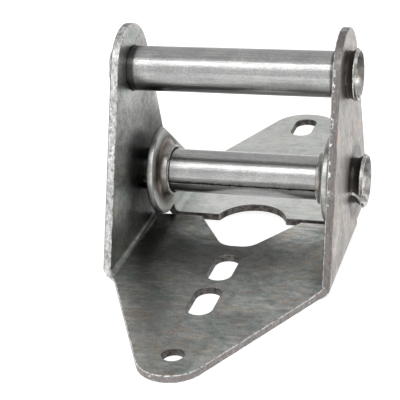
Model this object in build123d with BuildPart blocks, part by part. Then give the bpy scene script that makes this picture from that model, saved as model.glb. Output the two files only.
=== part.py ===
"""Double-tube roller hinge: two pressed-steel leaves that fold about a rolled hinge tube.

Millimetres. The origin is the middle of the hinge tube's axis. +X runs along the tubes,
+Y towards the tip of the rear leaf, and +Z away from the face that lies on the door.
"""
import os
from math import acos, atan2, cos, degrees, hypot, radians, sin, tan

from build123d import *

os.makedirs("parts", exist_ok=True)

# Sheet and folds
SHEET = 2.5              # thickness of both leaves
FOLD_IN = 1.9            # inside radius of every fold
FOLD_OUT = FOLD_IN + SHEET
DOOR_Z = -20.0           # face that lies on the door
FLOOR_Z = DOOR_Z + SHEET
FOLD_Z = DOOR_Z + FOLD_OUT

# Tubes
TUBE_R = 7.15            # 9/16 in outside diameter
WALL = 1.25              # leaves an 11.8 mm bore for a 7/16 in roller stem
ROLLER_Y, ROLLER_Z = -5.5, 37.8
FIT_GAP = 0.06           # running clearance between the hinge tube and the ears
FLARE_BEND = 3.1         # outside radius of the belled ends
ROLLER_FLARE, HINGE_FLARE = 50.0, 62.0
SEAM_GAP = 0.5
HINGE_SEAM, ROLLER_SEAM = 191.0, 262.0   # degrees from +Y towards +Z
SEAM_LOW, SEAM_HIGH = 4.6, 0.6   # how far the split spreads below and above the seam at a bell

# Front leaf
LEAF_W = 72.3            # over the outside of the flanges
FRONT_TIP_Y, FRONT_TIP_R = -83.0, 10.6
FLANGE_FOOT_Y = -42.7    # cut edge across the fold, where the flange's front edge starts
FRONT_SHOULDER_X = 33.0  # where the plate's side edge meets that cut
SHOULDER_R = 2.0
FLANGE_HEEL_Y = 21.5     # rear corner of the flange
FLANGE_LOW_Z = -14.9     # underside of the flange behind the plate
HEEL_R = 8.0
FRONT_REAR_Y = 1.7       # rear edge of the plate
FLANGE_TOP_R = 14.3      # head of the flange around the roller tube
TIP_HOLE_R = 3.2
SLOT_L, SLOT_W = 16.5, 8.0
FRONT_SLOT_Y = (-32.3, -53.1)
NOTCH_MOUTH, NOTCH_FOOT, NOTCH_Y, NOTCH_R = 17.3, 4.7, -17.8, 6.0

# Rear leaf
EAR_W = 60.2             # over the outside of the ears
EAR_R = 14.8             # end of the ear around the hinge tube
EAR_SLOPE = 40.0         # rear edge of the ear, degrees below level
EAR_REAR = 12.4          # distance of that edge from the hinge tube's axis
CREST_R = 3.0            # corner at the top of the ear
REAR_FRONT_Y = 3.7       # front edge of the plate
REAR_SHOULDER_Y = 54.6   # side edge of the plate where the fold begins
REAR_TIP_Y, REAR_TIP_R = 84.1, 12.7
REAR_SLOT_Y = 83.0
ARC_Y, ARC_R = 0.8, 11.9
NECK_R, NECK_L = 8.4, 2.9   # neck drawn inwards around each ear's hole
NECK_ROOT = 2.7          # radius where the neck leaves the ear


def on_circle(centre, radius, angle):
    return (centre[0] + radius * cos(radians(angle)), centre[1] + radius * sin(radians(angle)))


def touch(point, centre, radius, side):
    """Where a line from `point` is tangent to a circle; `side` is +1 or -1."""
    dx, dy = point[0] - centre[0], point[1] - centre[1]
    turn = atan2(dy, dx) + side * acos(radius / hypot(dx, dy))
    return (centre[0] + radius * cos(turn), centre[1] + radius * sin(turn))


def fold_run(y_plate, y_wall):
    """Sheet edge crossing a fold: (sine, 1 - cosine, y) as the fold turns from plate to wall."""
    steps = [radians(22.5 * i) for i in range(5)]
    return [(sin(a), 1 - cos(a), y_plate + (y_wall - y_plate) * i / 4) for i, a in enumerate(steps)]


def fold_plan(run, half):
    """The same edge seen from above, for a wall whose outside stands at `half`."""
    return [(half - FOLD_OUT + FOLD_OUT * s, y) for s, _, y in run]


def fold_side(run, outwards):
    """The same edge seen along X, a hair outside the plan cut so that the two never coincide."""
    return [(y + outwards * (1 - s), FLOOR_Z + FOLD_IN * c + 0.05) for s, c, y in run]


def plan_face(half, tip_y, tip_r, edge, far_y):
    """Plan of a leaf: rounded tip, straight sides, then the sheet edge over each fold.

    `edge` is the point where a straight side ends, or a curve of points that starts there.
    """
    sign = 1 if tip_y > 0 else -1
    near = touch(edge[0], (0, tip_y), tip_r, sign)
    with BuildLine() as outline:
        for side in (-1, 1):
            Polyline((side * near[0], near[1]), (side * edge[0][0], edge[0][1]))
            if len(edge) > 1:
                Spline([(side * x, y) for x, y in edge])
            Polyline((side * edge[-1][0], edge[-1][1]), (side * (half + 1), edge[-1][1]),
                     (side * (half + 1), far_y), (0, far_y))
        ThreePointArc((-near[0], near[1]), (0, tip_y + sign * tip_r), near)
    make_face(outline.edges())


def channel(width, top, length):
    """Sheet folded up along both sides, open at both ends."""
    for wide, radius, low in ((width, FOLD_OUT, DOOR_Z), (width - 2 * SHEET, FOLD_IN, FLOOR_Z)):
        with BuildSketch(Plane.XZ) as section:
            with Locations((0, low)):
                Rectangle(wide, top - low, align=(Align.CENTER, Align.MIN))
            fillet(section.vertices().sort_by(Axis.Y)[:2], radius)
        mode = Mode.ADD if low == DOOR_Z else Mode.SUBTRACT
        extrude(section.sketch, amount=length, both=True, mode=mode)


def rolled_tube(y, z, bell):
    """Tube along X whose ends are belled outwards by `bell` degrees."""
    half, mid = LEAF_W / 2, TUBE_R + FLARE_BEND
    with BuildSketch(Plane(origin=(0, y, z), x_dir=(1, 0, 0), z_dir=(0, 0, 1))) as section:
        with BuildLine():
            for radius in (FLARE_BEND, FLARE_BEND + WALL):
                Polyline((-half, mid - radius), (half, mid - radius))
                for side in (-1, 1):
                    ThreePointArc(*[(side * (half + radius * sin(a)), mid - radius * cos(a))
                                    for a in (0, radians(bell / 2), radians(bell))])
            for side in (-1, 1):
                Polyline(*[(side * (half + radius * sin(radians(bell))), mid - radius * cos(radians(bell)))
                           for radius in (FLARE_BEND, FLARE_BEND + WALL)])
        make_face()
    revolve(section.sketch, axis=Axis((0, y, z), (1, 0, 0)))


def seam_cut(y, z, angle):
    """Open seam along a tube, spread into a V where each end is belled."""
    half, reach = LEAF_W / 2, LEAF_W / 2 + 6
    plane = Plane(origin=(0, y, z), x_dir=(1, 0, 0),
                  z_dir=(0, cos(radians(angle)), sin(radians(angle))))
    with BuildSketch(plane) as split:
        gap = SEAM_GAP / 2
        Polygon(*[(-reach, -SEAM_LOW), (-half, -gap), (half, -gap), (reach, -SEAM_LOW),
                  (reach, SEAM_HIGH), (half, gap), (-half, gap), (-reach, SEAM_HIGH)], align=None)
    extrude(split.sketch, amount=15, mode=Mode.SUBTRACT)


# Front leaf
with BuildPart() as front_leaf:
    channel(LEAF_W, 60, 110)
    with BuildSketch(Plane.XY) as plan:
        plan_face(LEAF_W / 2, FRONT_TIP_Y, FRONT_TIP_R, [(FRONT_SHOULDER_X, FLANGE_FOOT_Y)], 30)
        fillet(plan.vertices().filter_by(lambda v: abs(abs(v.X) - FRONT_SHOULDER_X) < 0.01), SHOULDER_R)
        with Locations(*[(0, y) for y in FRONT_SLOT_Y]):
            SlotOverall(SLOT_L, SLOT_W, rotation=90, mode=Mode.SUBTRACT)
        with Locations((0, FRONT_TIP_Y)):
            Circle(TIP_HOLE_R, mode=Mode.SUBTRACT)
    extrude(amount=80, both=True, mode=Mode.INTERSECT)
    with BuildSketch(Plane.XY) as notch:
        slope = (NOTCH_MOUTH - NOTCH_FOOT) / (FRONT_REAR_Y - NOTCH_Y)
        wide = NOTCH_MOUTH + slope * 10
        Polygon((-wide, FRONT_REAR_Y + 10), (-NOTCH_FOOT, NOTCH_Y), (NOTCH_FOOT, NOTCH_Y),
                (wide, FRONT_REAR_Y + 10), align=None)
        fillet(notch.vertices().sort_by(Axis.Y)[:2], NOTCH_R)
    extrude(amount=2 * DOOR_Z, mode=Mode.SUBTRACT)
    with BuildSketch(Plane.YZ):
        head = (ROLLER_Y, ROLLER_Z)
        foot = (FLANGE_FOOT_Y, FOLD_Z)
        heel = (FLANGE_HEEL_Y, FLANGE_LOW_Z)
        rise = touch(foot, head, FLANGE_TOP_R, -1)
        fall = touch(heel, head, FLANGE_TOP_R, 1)
        with BuildLine():
            Polyline((-100, DOOR_Z - 1), (-100, FOLD_Z), foot, rise)
            ThreePointArc(rise, (ROLLER_Y, ROLLER_Z + FLANGE_TOP_R), fall)
            FilletPolyline(fall, heel, (FRONT_REAR_Y, FLANGE_LOW_Z), radius=HEEL_R)
            Polyline((FRONT_REAR_Y, FLANGE_LOW_Z), (FRONT_REAR_Y, DOOR_Z - 1), (-100, DOOR_Z - 1))
        make_face()
        with Locations((0, 0), head):
            Circle(TUBE_R, mode=Mode.SUBTRACT)
    extrude(amount=80, both=True, mode=Mode.INTERSECT)
front_leaf.part.label = "front_leaf"
export_step(front_leaf.part, "parts/front_leaf.step")

# Rear leaf
with BuildPart() as rear_leaf:
    channel(EAR_W, 20, 110)
    crest = on_circle((0, 0), EAR_R, 90 - EAR_SLOPE + degrees(acos(EAR_REAR / EAR_R)))
    ear_foot_y = crest[0] + (crest[1] - FOLD_Z) / tan(radians(EAR_SLOPE))
    run = fold_run(REAR_SHOULDER_Y, ear_foot_y)
    with BuildSketch(Plane.XY):
        plan_face(EAR_W / 2, REAR_TIP_Y, REAR_TIP_R, fold_plan(run, EAR_W / 2), -30)
        with Locations((0, REAR_SLOT_Y)):
            SlotOverall(SLOT_L, SLOT_W, rotation=90, mode=Mode.SUBTRACT)
        with Locations((0, ARC_Y)):
            Circle(ARC_R, mode=Mode.SUBTRACT)
    extrude(amount=80, both=True, mode=Mode.INTERSECT)
    with BuildSketch(Plane.YZ) as ear:
        edge = fold_side(run, 0.4)
        chin = (REAR_FRONT_Y, -(EAR_R ** 2 - REAR_FRONT_Y ** 2) ** 0.5)
        with BuildLine():
            ThreePointArc(chin, (-EAR_R, 0), crest)
            Polyline(crest, edge[-1])
            Spline(edge)
            Polyline(edge[0], (edge[0][0] + 1, FOLD_Z), (100, FOLD_Z), (100, DOOR_Z - 1),
                     (REAR_FRONT_Y, DOOR_Z - 1), chin)
        make_face()
        fillet(ear.vertices().sort_by(Axis.Y)[-1], CREST_R)
    extrude(amount=80, both=True, mode=Mode.INTERSECT)
    for end in (-1, 1):
        with Locations((end * (EAR_W / 2 - SHEET - NECK_L / 2), 0, 0)):
            Cylinder(NECK_R, NECK_L, rotation=(0, 90, 0))
    roots = rear_leaf.edges().filter_by(
        lambda e: e.geom_type == GeomType.CIRCLE and abs(e.radius - NECK_R) < 0.01
        and abs(abs(e.arc_center.X) - EAR_W / 2 + SHEET) < 0.01)
    fillet(roots, NECK_ROOT)
    Cylinder(TUBE_R + FIT_GAP, EAR_W + 10, rotation=(0, 90, 0), mode=Mode.SUBTRACT)
rear_leaf.part.label = "rear_leaf"
export_step(rear_leaf.part, "parts/rear_leaf.step")

# Roller tube
with BuildPart() as roller_tube:
    rolled_tube(ROLLER_Y, ROLLER_Z, ROLLER_FLARE)
    seam_cut(ROLLER_Y, ROLLER_Z, ROLLER_SEAM)
roller_tube.part.label = "roller_tube"
export_step(roller_tube.part, "parts/roller_tube.step")

# Hinge tube
with BuildPart() as hinge_tube:
    rolled_tube(0, 0, HINGE_FLARE)
    seam_cut(0, 0, HINGE_SEAM)
hinge_tube.part.label = "hinge_tube"
export_step(hinge_tube.part, "parts/hinge_tube.step")
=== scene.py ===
from math import hypot, radians

import bmesh
import bpy
from mathutils import Matrix, Vector
from mathutils.bvhtree import BVHTree
from mathutils.kdtree import KDTree


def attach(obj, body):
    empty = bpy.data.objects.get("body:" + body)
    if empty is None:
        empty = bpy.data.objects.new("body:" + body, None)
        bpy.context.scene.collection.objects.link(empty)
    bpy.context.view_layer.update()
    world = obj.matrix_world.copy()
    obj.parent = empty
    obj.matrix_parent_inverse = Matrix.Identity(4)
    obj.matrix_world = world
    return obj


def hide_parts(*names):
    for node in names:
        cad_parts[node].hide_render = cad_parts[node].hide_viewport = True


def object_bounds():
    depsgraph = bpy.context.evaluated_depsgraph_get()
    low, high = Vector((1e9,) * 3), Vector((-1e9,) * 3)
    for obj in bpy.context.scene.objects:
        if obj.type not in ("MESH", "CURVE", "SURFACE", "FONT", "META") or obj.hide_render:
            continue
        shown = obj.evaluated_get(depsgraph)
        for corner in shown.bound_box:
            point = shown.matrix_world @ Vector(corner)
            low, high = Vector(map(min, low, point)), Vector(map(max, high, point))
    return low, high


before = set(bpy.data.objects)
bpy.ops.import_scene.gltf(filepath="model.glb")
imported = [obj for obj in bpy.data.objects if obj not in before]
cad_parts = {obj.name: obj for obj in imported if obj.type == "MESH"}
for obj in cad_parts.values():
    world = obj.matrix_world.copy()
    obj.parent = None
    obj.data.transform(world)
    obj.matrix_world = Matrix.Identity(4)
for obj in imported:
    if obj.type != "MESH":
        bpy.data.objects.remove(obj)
CAD_BOX = [list(c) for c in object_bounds()]
DOOR_Z = CAD_BOX[0][2]

# Landmarks in metres. X runs across the hinge, Y towards the rear leaf's tip, Z up, and the origin
# is on the hinge tube's axis.
HINGE_AXIS = (0.0, 0.0)             # y and z of the hinge tube's axis
ROLLER_AXIS = (-0.0055, 0.0378)     # y and z of the roller tube's axis
FLANGE_HALF = 0.03615               # half the width over the flanges
EAR_HALF = 0.0301                   # half the width over the ears
FLANGE_OUTSIDE = 0.0358             # farther out in X than this is a flange's outer face
FLANGE_CORNER_X = 0.0355            # farther out in X than this are the corners round that face
EAR_X = 0.027                       # the ears' walls are farther out in X than this
NECK_X = 0.024                      # the ears' walls and necks are farther out in X than this
BARREL_X = 0.030                    # nearer the middle in X than this is a tube's plain barrel
BELL_START = 0.0363                 # farther out in X than this is a tube's bell
INSIDE = 0.0024                     # this far in from a wall's outer face lies its inner face
BETWEEN = 0.004                     # farther in than this is between the walls
BORE_R = 0.0074                     # just more than the holes that the tubes go through
NECK_R = 0.0115                     # takes in the whole neck drawn from an ear
RIM_R = 0.0118                      # the outlines of ears and flanges stay farther from the axis
EAR_FOOT_Z = -0.0135                # higher than this, the rear leaf is all ear
EAR_RIM_Z = -0.0125                 # higher than this, an ear's rim is worn round
PLATE_TOP_Z = -0.0145               # higher than both plates and their folds
OPENING_Y = 0.0195                  # the opening between the plates is nearer the axis than this
SLOT_HALF = 0.0047                  # more than half the width of any slot or hole in a plate
TIP_Y = 0.0922                      # farther out in Y than this is a plate's rounded tip

# Radii of rounded corners
CORNER = 0.0003
FINE_CORNER = 0.0002
SEAM_CORNER = 0.00025
BORE_CORNER = 0.0005
EAR_CORNER = 0.0008

SAME_POINT = 2e-6                   # vertices this near are one vertex
FLAT = radians(0.3)                 # faces this near to level with each other are one face
SHARP = radians(32)                 # edges sharper than this are rounded
CREASE = radians(40)                # edges sharper than this stay creased in the shading


# ---------------------------------------------------------------- shader helpers
class Graph:
    """A material's node tree, built by short calls that return output sockets."""

    def __init__(self, name):
        self.material = bpy.data.materials.new(name)
        self.material.use_nodes = True
        self.tree = self.material.node_tree
        self.shader = self.tree.nodes["Principled BSDF"]
        self.coords = self.tree.nodes.new("ShaderNodeTexCoord")

    def node(self, kind, inputs=(), out=0, **settings):
        n = self.tree.nodes.new("ShaderNode" + kind)
        for key, value in settings.items():
            setattr(n, key, value)
        for key, value in dict(inputs).items():
            self.feed(n.inputs[key], value)
        return n.outputs[out]

    def feed(self, socket, value):
        if isinstance(value, bpy.types.NodeSocket):
            self.tree.links.new(value, socket)
        else:
            socket.default_value = value

    def noise(self, where, scale, detail=4.0, rough=0.55, twist=0.0):
        return self.node("TexNoise", {"Vector": where, "Scale": scale, "Detail": detail,
                                      "Roughness": rough, "Distortion": twist})

    def place(self, turn=(0, 0, 0), stretch=(1, 1, 1), shift=(0, 0, 0)):
        return self.node("Mapping", {"Vector": self.coords.outputs["Object"], "Rotation": turn,
                                     "Scale": stretch, "Location": shift})

    def ramp(self, factor, stops):
        """Colour or grey at each stop, in proportion between them."""
        ramp = self.tree.nodes.new("ShaderNodeValToRGB")
        elements = ramp.color_ramp.elements
        while len(elements) < len(stops):
            elements.new(0.5)
        for element, (at, colour) in zip(elements, stops):
            rgb = colour if isinstance(colour, tuple) else (colour,) * 3
            element.position, element.color = at, (*rgb, 1)
        self.feed(ramp.inputs[0], factor)
        return ramp.outputs[0]

    def mix(self, factor, a, b, blend="MIX"):
        n = self.tree.nodes.new("ShaderNodeMix")
        n.data_type, n.blend_type = "RGBA", blend
        self.feed(n.inputs["Factor"], factor)
        for socket, value in ((n.inputs[6], a), (n.inputs[7], b)):
            self.feed(socket, (*value, 1) if isinstance(value, tuple) else value)
        return n.outputs[2]

    def shaded(self, colour, by, amount=1.0):
        """Colour multiplied by another, and less of it where the amount is under 1."""
        return self.mix(amount, colour, by, "MULTIPLY")

    def maths(self, operation, a, b=0.0, c=0.0, clamp=False):
        n = self.tree.nodes.new("ShaderNodeMath")
        n.operation, n.use_clamp = operation, clamp
        for socket, value in zip(n.inputs, (a, b, c)):
            self.feed(socket, value)
        return n.outputs[0]

    def times(self, a, b):
        return self.maths("MULTIPLY", a, b)

    def plus(self, a, b):
        return self.maths("ADD", a, b)

    def span(self, value, start, end):
        """0 where the value is `start` and 1 where it is `end`."""
        slope = 1 / (end - start)
        return self.maths("MULTIPLY_ADD", value, slope, -start * slope)

    def axis(self, name, of="Object"):
        n = self.tree.nodes.new("ShaderNodeSeparateXYZ")
        self.feed(n.inputs[0], self.coords.outputs[of])
        return n.outputs[name]

    def off_centre(self):
        """Distance to either side of the plane that halves the hinge."""
        return self.maths("ABSOLUTE", self.axis("X"))

    def patch(self, centre, reach, middle):
        """Soft-edged darker or lighter patch: `middle` at its centre, 1 beyond its ragged edge."""
        away = self.node("VectorMath", {0: self.coords.outputs["Object"], 1: centre}, out=1,
                         operation="DISTANCE")
        ragged = self.maths("SUBTRACT", self.noise(self.place(), 60.0, 4.0, 0.6), 0.5)
        far = self.plus(self.maths("DIVIDE", away, reach), ragged)
        return self.ramp(far, [(0.35, middle), (0.95, 1.0)])

    def painted_crevice_shade(self, colour, reach, darkest):
        """Painted shade: darker where the surface lies in a crevice narrower than `reach`."""
        n = self.tree.nodes.new("ShaderNodeAmbientOcclusion")
        n.samples = 8
        n.inputs["Distance"].default_value = reach
        return self.shaded(colour, self.ramp(n.outputs["AO"], [(0.15, darkest), (0.75, 1.0)]))

    def finish(self, colour, roughness, height, depth):
        bump = self.node("Bump", {"Height": height, "Distance": depth, "Strength": 1.0})
        self.feed(self.shader.inputs["Base Color"], colour)
        self.feed(self.shader.inputs["Roughness"], roughness)
        self.feed(self.shader.inputs["Normal"], bump)
        self.shader.inputs["Metallic"].default_value = 1.0
        return self.material


def scratches(g, turns, density):
    """Sparse fine scratches in several directions, 1 on a scratch and 0 elsewhere."""
    total = 0.0
    for i, turn in enumerate(turns):
        along = g.place((0.3 * i, 0.2, radians(turn)), (14, 420, 420), (i, 0, 0))
        lines = g.noise(along, 1.0, 2.0, 0.5)
        patch = g.noise(g.place(shift=(0, i * 3.1, 0)), 55.0, 2.0)
        line = g.maths("GREATER_THAN", g.times(lines, patch), density)
        total = g.maths("ADD", total, line, clamp=True)
    return total


def zinc_sheet(name, dark, light, seed, contrast, crevice_shading, shade_and_other_patches):
    """Zinc-plated pressed sheet: cloudy greys with faint olive and brown, scuffs, fine grain,
    painted shade in crevices and in patches, and a dark ring round the hinge tube, partly rust and
    partly painted shade.
    """
    g = Graph(name)
    slant = (0, 0, radians(32))
    clouds = g.noise(g.place(shift=(seed, 0, 0)), 75.0, 6.0, 0.66, 1.0)
    mottle = g.noise(g.place(slant, (300, 620, 620), (0, seed, 0)), 1.0, 5.0, 0.66, 0.5)
    grain = g.noise(g.place(), 2300.0, 2.0, 0.6)
    tint = g.noise(g.place(shift=(3, 1, 2)), 110.0, 5.0, 0.66, 1.6)
    streak = g.noise(g.place(slant, (60, 380, 380)), 1.0, 5.0, 0.66, 0.6)

    middle = tuple((a + b) / 2 for a, b in zip(dark, light))
    colour = g.ramp(clouds, [(0.34, dark), (0.50, middle), (0.66, light)])
    mottled = g.ramp(mottle, [(0.30, 0.50), (0.50, 0.97), (0.70, 1.50)])
    colour = g.shaded(colour, mottled, contrast)
    colour = g.shaded(colour, g.ramp(grain, [(0.30, 0.68), (0.70, 1.30)]), contrast)
    warm = g.ramp(tint, [(0.36, (0.80, 0.92, 0.88)), (0.46, (0.97, 1.0, 0.98)),
                         (0.52, (1.0, 1.0, 1.0)), (0.60, (1.06, 0.97, 0.84)),
                         (0.70, (0.94, 0.86, 0.90))])
    colour = g.shaded(colour, warm, 1.5 * contrast)
    rub = g.times(g.ramp(streak, [(0.54, 0.0), (0.70, 1.0)]), 0.28)
    colour = g.mix(rub, colour, tuple(1.35 * c for c in light))
    marks = scratches(g, (18, 70, 128), 0.40)
    colour = g.mix(g.times(marks, 0.5), colour, (0.78, 0.78, 0.76))
    # Painted shade, rubbed scuffs and other darker or lighter patches, as listed below
    for shade_or_other_patch in shade_and_other_patches:
        colour = g.shaded(colour, g.patch(*shade_or_other_patch))

    # Darker ring round the hinge tube's axis, over the necks' fillets and round the flange holes:
    # partly rust, partly painted shade
    off_axis = g.node("VectorMath", {0: g.place(stretch=(0, 1, 1))}, out=1, operation="LENGTH")
    shade_and_rust = g.ramp(g.span(off_axis, 0.0, 0.020),
                  [(0.40, (1.0, 1.0, 1.0)), (0.46, (0.42, 0.35, 0.33)),
                   (0.54, (0.26, 0.215, 0.205)), (0.66, (1.0, 1.0, 1.0))])
    colour = g.shaded(colour, shade_and_rust)

    # Outer faces of the flanges: darker and warmer, streaked up and down
    outer = g.maths("GREATER_THAN", g.off_centre(), FLANGE_OUTSIDE)
    runs = g.noise(g.place(stretch=(300, 700, 60)), 1.0, 4.0, 0.65)
    brown = g.ramp(runs, [(0.34, (0.44, 0.38, 0.365)), (0.64, (0.70, 0.63, 0.61))])
    colour = g.mix(outer, colour, g.shaded(colour, brown))

    # Painted shade in crevices and between parts
    colour = g.painted_crevice_shade(colour, *crevice_shading)
    rough = g.ramp(g.plus(g.times(clouds, 0.5), g.times(mottle, 0.5)), [(0.35, 0.40), (0.65, 0.26)])
    height = g.plus(g.times(grain, 0.4), g.times(mottle, 1.2))
    return g.finish(colour, rough, g.plus(height, g.times(clouds, 2.0)), 0.00006)


def sheared_edge():
    """Cut edge of the sheet: torn and bright on the left flange, darker and plainer elsewhere."""
    g = Graph("sheared_edge")
    tear = g.noise(g.place(stretch=(900, 900, 420)), 1.0, 6.0, 0.72, 0.4)
    speck = g.noise(g.place(shift=(2, 7, 1)), 1100.0, 3.0, 0.6)
    side = g.ramp(g.span(g.axis("X"), -0.036, -0.026), [(0.15, 0.0), (0.6, 1.0)])
    colour = g.mix(side, (0.62, 0.62, 0.61), (0.25, 0.232, 0.225))
    torn = g.mix(side, g.ramp(tear, [(0.37, 0.50), (0.50, 0.95), (0.62, 1.35)]),
                 g.ramp(tear, [(0.37, 0.76), (0.50, 0.98), (0.62, 1.18)]))
    colour = g.shaded(colour, torn)
    colour = g.mix(g.ramp(speck, [(0.66, 0.0), (0.71, 0.9)]), colour, (0.85, 0.84, 0.82))

    # Bright chips along the inner corner of the right flange's front edge
    high = g.ramp(g.span(g.axis("Z"), 0.0, 0.050),
                  [(0.12, 0.0), (0.26, 1.0), (0.80, 1.0), (0.92, 0.0)])
    inner = g.ramp(g.span(g.axis("X"), 0.033, 0.0355), [(0.50, 1.0), (0.76, 0.0)])
    flakes = g.ramp(g.noise(g.place(shift=(5, 1, 3)), 620.0, 3.0, 0.6), [(0.55, 0.0), (0.58, 1.0)])
    colour = g.mix(g.times(g.times(high, inner), flakes), colour, (0.92, 0.92, 0.90))
    rough = g.ramp(tear, [(0.3, 0.55), (0.7, 0.36)])
    return g.finish(colour, rough, g.plus(tear, g.times(speck, 0.7)), 0.00009)


def plain_metal(name, dark, light, scale, rough, depth):
    """Even worn metal with a little cloud and grain."""
    g = Graph(name)
    clouds = g.noise(g.place(shift=(1, 2, 3)), scale, 4.0, 0.65)
    grain = g.noise(g.place(), 2000.0, 3.0, 0.6)
    colour = g.ramp(clouds, [(0.38, dark), (0.58, light)])
    colour = g.shaded(colour, g.ramp(grain, [(0.3, 0.80), (0.7, 1.15)]))
    return g.finish(colour, g.ramp(clouds, [(0.3, rough), (0.7, rough * 0.75)]), grain, depth)


def zinc_tube():
    """Rolled tube: smoother, with fine lines along its length, a fine stipple, and painted shade on
    its underside, towards its ends and in crevices.
    """
    g = Graph("zinc_tube")
    lines = g.noise(g.place(stretch=(60, 1700, 1700)), 1.0, 4.0, 0.65)
    clouds = g.noise(g.place(), 110.0, 5.0, 0.65, 0.6)
    stipple = g.noise(g.place(), 2200.0, 3.0, 0.65)
    colour = g.ramp(clouds, [(0.32, (0.46, 0.47, 0.46)), (0.52, (0.54, 0.54, 0.535)),
                             (0.70, (0.62, 0.61, 0.60))])
    colour = g.shaded(colour, g.ramp(lines, [(0.3, 0.70), (0.7, 1.12)]), 0.7)
    colour = g.shaded(colour, g.ramp(stipple, [(0.3, 0.78), (0.7, 1.18)]), 0.8)
    # Painted shade: darker on faces turned down
    down_for_painted_shade = g.span(g.axis("Z", "Normal"), 1.0, -1.0)
    colour = g.shaded(colour, g.ramp(down_for_painted_shade, [(0.35, 1.0), (0.50, 0.76), (0.60, 0.74),
                                                 (0.85, 0.42)]))
    # Painted shade towards the ends, where the tubes run into the flanges and the ears
    to_shaded_ends = g.span(g.off_centre(), BARREL_X, 0.032)
    colour = g.shaded(colour, g.ramp(to_shaded_ends, [(0.55, 1.0), (0.85, 0.30)]))
    # Painted shade in crevices and where the tubes meet other parts
    colour = g.painted_crevice_shade(colour, 0.004, 0.25)
    rough = g.ramp(lines, [(0.3, 0.26), (0.7, 0.17)])
    return g.finish(colour, rough, g.plus(g.times(stipple, 1.2), lines), 0.00003)


def bell_back():
    """Shadowed side of a bell in painted shade: darker towards the lip, bare metal against the
    flange.
    """
    g = Graph("bell_back")
    shade_and_rust = g.noise(g.place(), 700.0, 4.0, 0.6)
    to_lip = g.plus(g.span(g.off_centre(), 0.0361, 0.0371), g.times(shade_and_rust, 0.8))
    colour = g.ramp(to_lip, [(0.30, (0.42, 0.40, 0.38)), (0.90, (0.13, 0.12, 0.11))])
    return g.finish(colour, g.ramp(shade_and_rust, [(0.3, 0.5), (0.7, 0.35)]), shade_and_rust, 0.00005)


def belled_lip():
    """Worked metal of the belled ends: scuffed, with tool marks round the lip, painted shade on
    faces turned down and a painted highlight on faces turned up.
    """
    g = Graph("belled_lip")
    marks = g.noise(g.place(stretch=(1100, 260, 260)), 1.0, 4.0, 0.65)
    clouds = g.noise(g.place(shift=(1, 2, 3)), 300.0, 4.0, 0.6)
    colour = g.ramp(clouds, [(0.36, (0.24, 0.22, 0.20)), (0.5, (0.42, 0.41, 0.39)),
                             (0.64, (0.74, 0.73, 0.71))])
    # Painted light and shade: dark on faces turned down, bright on faces turned up
    up_for_painted_light = g.span(g.axis("Z", "Normal"), -1.0, 1.0)
    colour = g.shaded(colour, g.ramp(up_for_painted_light, [(0.20, 0.12), (0.48, 0.34), (0.60, 0.95),
                                               (0.75, 1.50)]))
    return g.finish(colour, g.ramp(marks, [(0.3, 0.34), (0.7, 0.20)]), marks, 0.00012)


# Patches as (centre, reach, shade): painted shade on the front sheet, rubbed scuffs beside the
# notch, and plain darker or lighter patches on the rear sheet. A shade over 1 lightens.
FRONT_SHADE_AND_SCUFFS = [((-0.006, -0.020, -0.0175), 0.036, 0.44),    # painted shade in the middle of the plate
                ((-0.0336, -0.006, 0.004), 0.036, 0.62),     # painted shade at the foot of the left flange
                ((-0.0336, 0.004, -0.002), 0.030, 0.18),     # painted shadow of the ear on the left flange
                ((-0.0336, 0.004, 0.036), 0.060, 0.66),      # painted shade at the head of the left flange
                ((-0.017, -0.003, -0.0175), 0.013, 1.8),     # left of the notch
                ((0.017, -0.004, -0.0175), 0.013, 1.6)]      # right of the notch
REAR_PATCHES = [((-0.029, 0.0, 0.006), 0.028, 0.62),          # left ear
               ((0.029, 0.0, 0.006), 0.028, 0.62),           # right ear
               ((0.0, 0.018, -0.0175), 0.030, 1.28)]         # plate behind the opening

FRONT_FACE = zinc_sheet("zinc_sheet_front", (0.36, 0.37, 0.365), (0.66, 0.66, 0.64), 0, 0.6,
                        (0.012, 0.16), FRONT_SHADE_AND_SCUFFS)
REAR_FACE = zinc_sheet("zinc_sheet_rear", (0.68, 0.70, 0.68), (0.90, 0.90, 0.88), 4, 0.3,
                       (0.005, 0.45), REAR_PATCHES)
SHEET_EDGE = sheared_edge()
WORN_CORNER = plain_metal("worn_corner", (0.30, 0.29, 0.28), (0.90, 0.89, 0.87), 900.0, 0.36,
                          0.00004)
# Near-black: painted shade on the walls of slots, holes and the opening and round the bores; on a
# tube, the dark joint of the seam
SHADE_AND_SEAM = plain_metal("painted_shade_and_seam", (0.055, 0.05, 0.045), (0.15, 0.14, 0.13), 500.0, 0.6, 0.00006)
BELL_BACK, TUBE_FACE, BELL_LIP = bell_back(), zinc_tube(), belled_lip()


# ---------------------------------------------------------------- pieces
# Places in a piece's list of materials. On a tube EDGE is the bell, and the place for painted shade
# is the bell's shadowed side; on a leaf that place is near-black painted shade in slots, holes, the
# opening and round the bores.
FACE, EDGE, WORN, PAINTED_SHADE, SEAM = range(5)


def from_tube(c, axis):
    """Distance of a point from a tube's axis."""
    return hypot(c.y - axis[0], c.z - axis[1])


def from_hinge(c):
    return from_tube(c, HINGE_AXIS)


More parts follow.
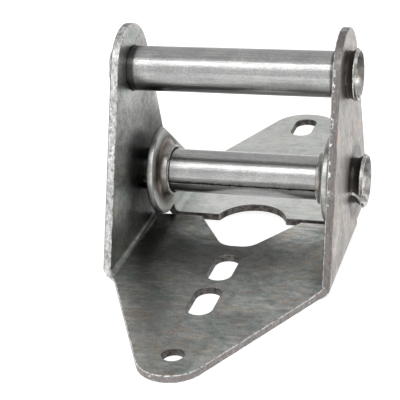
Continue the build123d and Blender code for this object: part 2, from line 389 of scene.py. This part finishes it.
def sort_leaf(half):
    """Which material a face of a leaf takes; its walls stand at +-half in X."""
    def sort_face(n, c):
        inboard = abs(c.x) < half - INSIDE
        # Walls of the holes that the tubes go through take near-black painted shade
        if inboard and from_hinge(c) < BORE_R and abs(n.x) < 0.5:
            return PAINTED_SHADE
        on_neck = inboard and from_hinge(c) < NECK_R
        on_ear = half == EAR_HALF and c.z > EAR_FOOT_Z
        cut_across = abs(n.y) > 0.08
        slot_side = abs(n.x) > 0.9 and abs(c.x) < half - BETWEEN
        if on_neck or on_ear or not (cut_across or slot_side):
            return FACE
        # Walls of slots, the tip hole and the opening take near-black painted shade; other cut
        # edges take the sheared edge
        return PAINTED_SHADE if inner_rim(c) else EDGE
    return sort_face


def sort_tube(n, c):
    """Which material a face of a tube takes: barrel, bell, shadowed side of the bell, seam."""
    if abs(c.x) > BELL_START:
        return PAINTED_SHADE if n.x * c.x < -0.002 * abs(c.x) else EDGE
    axis = min(HINGE_AXIS, ROLLER_AXIS, key=lambda a: from_tube(c, a))
    out = Vector((c.y - axis[0], c.z - axis[1])).normalized()
    across = Vector((n.y, n.z)).normalized()
    return SEAM if abs(n.x) < 0.5 and abs(across.dot(out)) < 0.5 else FACE


# Tests on the middle of an edge, which pick the edges that a pass rounds
def anywhere(c):
    return True


def tube_hole(c):
    return min(from_tube(c, HINGE_AXIS), from_tube(c, ROLLER_AXIS)) < BORE_R


def inner_rim(c):
    """Round the slots, the tip hole and the opening between the plates."""
    in_slot = abs(c.x) < SLOT_HALF and abs(c.y) < TIP_Y
    return c.z < PLATE_TOP_Z and (in_slot or abs(c.y) < OPENING_Y)


def outer_corner(c):
    """Outer corner of a flange's cut edge, which has no bright line."""
    return abs(c.x) > FLANGE_CORNER_X and from_hinge(c) > RIM_R


def ear_rim(c):
    return abs(c.x) > EAR_X and c.z > EAR_RIM_Z and from_hinge(c) > RIM_R


def neck_bore(c):
    return abs(c.x) > NECK_X and from_hinge(c) < BORE_R


def tube_seam(c):
    return abs(c.x) < BARREL_X


def points_along(edges, step=0.0002):
    """Search tree of points spaced along edges."""
    points = []
    for edge in edges:
        start, end = (v.co.copy() for v in edge.verts)
        count = max(1, int((end - start).length / step))
        points += [start.lerp(end, i / count) for i in range(count + 1)]
    tree = KDTree(len(points))
    for i, point in enumerate(points):
        tree.insert(point, i)
    tree.balance()
    return tree


def rounded(node, materials, sort_face, passes):
    """A finished copy of a CAD node: same shape, with its corners rounded in one or more passes.

    Each pass is (test on an edge's middle, radius, place of the material the corner is given).
    """
    bm = bmesh.new()
    bm.from_mesh(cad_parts[node].data)
    bmesh.ops.remove_doubles(bm, verts=bm.verts, dist=SAME_POINT)
    bmesh.ops.dissolve_limit(bm, angle_limit=FLAT, verts=bm.verts, edges=bm.edges)
    bm.normal_update()
    surface = BVHTree.FromBMesh(bm)
    for face in bm.faces:
        face.smooth = True
        face.material_index = sort_face(face.normal, face.calc_center_median())
    for test, radius, material in passes:
        # A corner between two cut edges stays sharp, except in a fine pass
        sharp = [e for e in bm.edges if len(e.link_faces) == 2 and e.calc_face_angle() > SHARP
                 and test((e.verts[0].co + e.verts[1].co) / 2)
                 and (radius < CORNER or {f.material_index for f in e.link_faces} != {EDGE})]
        corners = points_along(sharp)
        made = bmesh.ops.bevel(bm, geom=sharp, offset=radius, offset_type="OFFSET", segments=3,
                               profile=0.5, affect="EDGES", clamp_overlap=False, material=material)
        for vert in made["verts"]:
            nearest, _, away = corners.find(vert.co)
            if away > 3 * radius:    # thrown along the sheet where short edges meet at a corner
                vert.co = nearest
        for face in bm.faces:
            face.smooth = True
    for vert in bm.verts:
        nearest, _, _, away = surface.find_nearest(vert.co)
        if away > CORNER:    # thrown off the sheet where two bevels met at a sharp corner
            vert.co = nearest
    mesh = bpy.data.meshes.new(node + "_finished")
    bm.to_mesh(mesh)
    bm.free()
    for material in materials:
        mesh.materials.append(material)
    mesh.set_sharp_from_angle(angle=CREASE)
    piece = bpy.data.objects.new(node + "_finished", mesh)
    bpy.context.scene.collection.objects.link(piece)
    weighted = piece.modifiers.new("even_shading", "WEIGHTED_NORMAL")
    weighted.keep_sharp = True
    return piece


def put(node, body, materials, sort_face, passes):
    piece = rounded(node, materials, sort_face, passes)
    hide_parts(node)
    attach(piece, body)


# The rounded rims of the tube holes and the neck bores take near-black painted shade
put("front_leaf", "front_leaf", (FRONT_FACE, SHEET_EDGE, WORN_CORNER, SHADE_AND_SEAM),
    sort_leaf(FLANGE_HALF), [(tube_hole, CORNER, PAINTED_SHADE), (inner_rim, FINE_CORNER, EDGE),
                             (outer_corner, CORNER, FACE), (anywhere, CORNER, WORN)])
put("rear_leaf", "rear_leaf", (REAR_FACE, SHEET_EDGE, WORN_CORNER, SHADE_AND_SEAM),
    sort_leaf(EAR_HALF), [(ear_rim, EAR_CORNER, FACE), (neck_bore, BORE_CORNER, PAINTED_SHADE),
                          (inner_rim, FINE_CORNER, EDGE), (anywhere, CORNER, WORN)])
for tube in ("roller_tube", "hinge_tube"):
    put(tube, "front_leaf", (TUBE_FACE, BELL_LIP, WORN_CORNER, BELL_BACK, SHADE_AND_SEAM),
        sort_tube, [(tube_seam, SEAM_CORNER, SEAM), (anywhere, FINE_CORNER, WORN)])


# ---------------------------------------------------------------- stage, light, camera
def floor():
    g = Graph("floor")
    g.shader.inputs["Base Color"].default_value = (0.6, 0.6, 0.6, 1)
    g.shader.inputs["Roughness"].default_value = 0.9
    g.shader.inputs["Emission Color"].default_value = (1, 1, 1, 1)
    g.shader.inputs["Emission Strength"].default_value = 0.78
    bpy.ops.mesh.primitive_plane_add(size=20, location=(0, 0, DOOR_Z - 0.0001))
    plane = bpy.context.object
    plane.data.materials.append(g.material)


def area_light(name, azimuth, elevation, distance, size, power):
    """Soft light at an azimuth (0 in front, 90 to the right) and elevation, aimed at the object."""
    light = bpy.data.lights.new(name, "AREA")
    light.shape, light.energy = "RECTANGLE", power
    light.size, light.size_y = size
    lamp = bpy.data.objects.new(name, light)
    back = (Matrix.Rotation(radians(azimuth), 3, "Z")
            @ Matrix.Rotation(radians(-elevation), 3, "X") @ Vector((0, -1, 0)))
    lamp.location = back * distance
    lamp.rotation_mode = "QUATERNION"
    lamp.rotation_quaternion = back.to_track_quat("Z", "Y")
    bpy.context.scene.collection.objects.link(lamp)


def studio():
    """Soft surroundings, brighter in front of the object than behind it."""
    world = bpy.data.worlds.new("studio")
    world.use_nodes = True
    tree = world.node_tree
    coords, split, front, ramp = (tree.nodes.new("ShaderNode" + kind) for kind in
                                  ("TexCoord", "SeparateXYZ", "Math", "ValToRGB"))
    front.operation = "MULTIPLY_ADD"
    front.inputs[1].default_value, front.inputs[2].default_value = -0.5, 0.5
    tree.links.new(coords.outputs["Generated"], split.inputs[0])
    tree.links.new(split.outputs["Y"], front.inputs[0])
    tree.links.new(front.outputs[0], ramp.inputs[0])
    for element, (at, level) in zip(ramp.color_ramp.elements, ((0.60, 0.58), (0.92, 0.85))):
        element.position, element.color = at, (level, level, level, 1)
    tree.links.new(ramp.outputs[0], tree.nodes["Background"].inputs["Color"])
    bpy.context.scene.world = world


def add_camera(at, right, up, back, lens):
    """Camera at a point, given the directions of its own three axes."""
    camera = bpy.data.objects.new("camera", bpy.data.cameras.new("camera"))
    camera.data.lens, camera.data.sensor_width = lens, 36
    camera.data.clip_start, camera.data.clip_end = 0.01, 20
    turn = Matrix((right, up, back)).transposed()
    camera.matrix_world = Matrix.Translation(at) @ turn.to_4x4()
    bpy.context.scene.collection.objects.link(camera)
    bpy.context.scene.camera = camera


floor()
studio()
area_light("key", azimuth=5, elevation=54, distance=1.2, size=(1.6, 0.52), power=4.5)
bpy.context.scene.view_settings.view_transform = "Standard"
add_camera(at=(0.10436, -0.35200, 0.16612), right=(0.95370, 0.29154, -0.07388),
           up=(-0.06201, 0.43096, 0.90024), back=(0.29430, -0.85398, 0.42908), lens=109.96)
